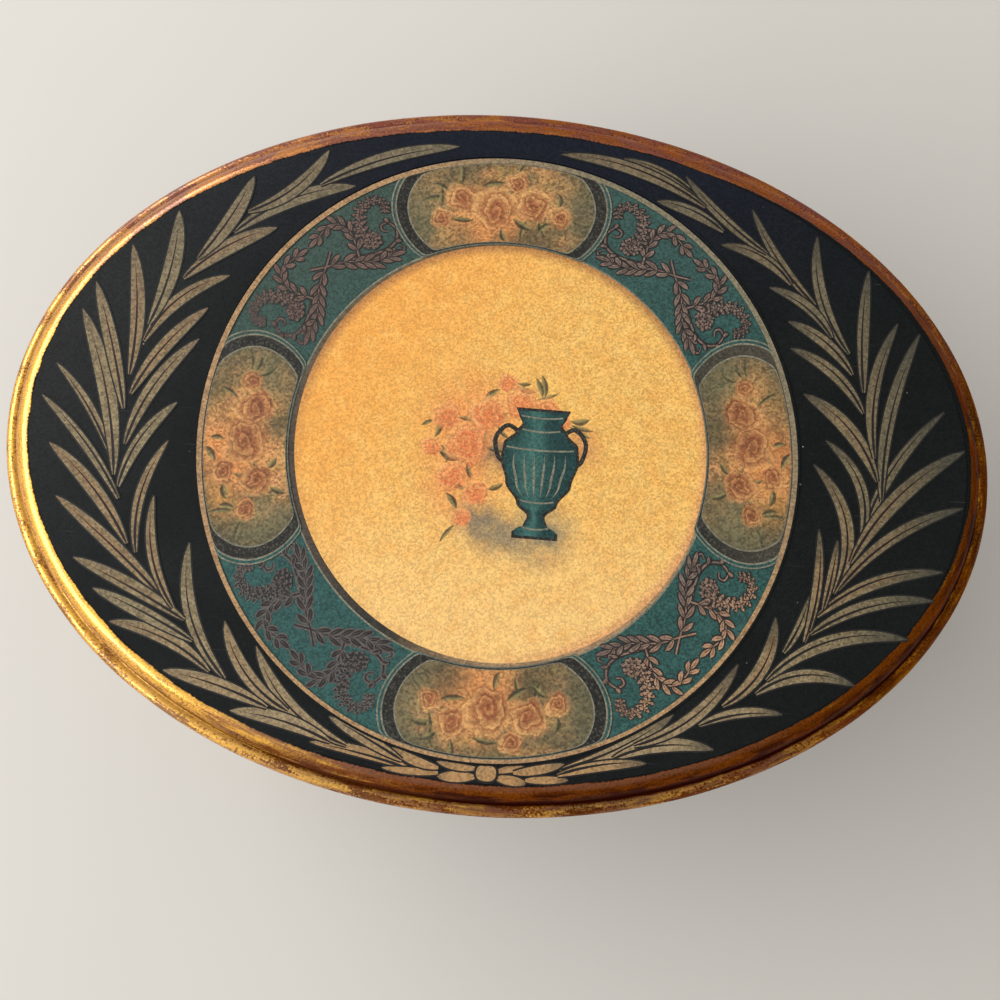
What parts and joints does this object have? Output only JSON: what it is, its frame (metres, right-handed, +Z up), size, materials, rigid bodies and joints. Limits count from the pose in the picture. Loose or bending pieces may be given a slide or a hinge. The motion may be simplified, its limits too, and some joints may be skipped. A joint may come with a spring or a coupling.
{
  "type": "oval jewelry box",
  "caption": "Oval wooden box with a hinged lid, moulded gilt edges, a printed lid top, velvet-lined compartments with ring rolls and a mirror in the lid.",
  "frame": {"origin": "middle of the underside of the felt, on the surface the box stands on", "axes": "+X along the length of the oval, +Y to the hinged back, +Z up"},
  "size_m": [0.254, 0.185, 0.0873],
  "materials": {
    "gilt_wood": "gold leaf over a red ground, antiqued, satin",
    "black_lacquer": "black lacquer, satin",
    "print": "varnished paper print, satin",
    "felt": "felt, matt",
    "velvet": "velvet over card or wadding",
    "brass": "polished, slightly dulled",
    "steel": "zinc plated",
    "mirror": "silvered glass",
    "gilt_metal": "gilt, satin"
  },
  "bodies": {
    "box": {"base_felt": "felt", "base_board": "gilt_wood", "base_screws": "steel", "box_wall": "black_lacquer", "wall_lining": "velvet", "floor_lining": "velvet", "divider_left": "velvet", "divider_right": "velvet", "cushion_left": "velvet", "cushion_right": "velvet", "ring_rolls": "velvet", "hinge_base_leaf_left": "brass", "hinge_base_leaf_right": "brass", "hinge_pin_left": "brass", "hinge_pin_right": "brass", "hinge_base_screws": "brass"},
    "lid": {"lid_board": "gilt_wood", "lid_print": "print", "hinge_lid_leaf_left": "brass", "hinge_lid_leaf_right": "brass", "hinge_lid_screws": "brass", "lid_lining": "velvet", "mirror_glass": "mirror", "mirror_frame": "gilt_metal"}
  },
  "joints": [
    {"name": "lid_hinge", "type": "hinge", "parent": "box", "child": "lid", "pos_m": [0, 0.0828, 0.075], "axis": [-1, 0, 0], "range_deg": [0, 98]}
  ]
}
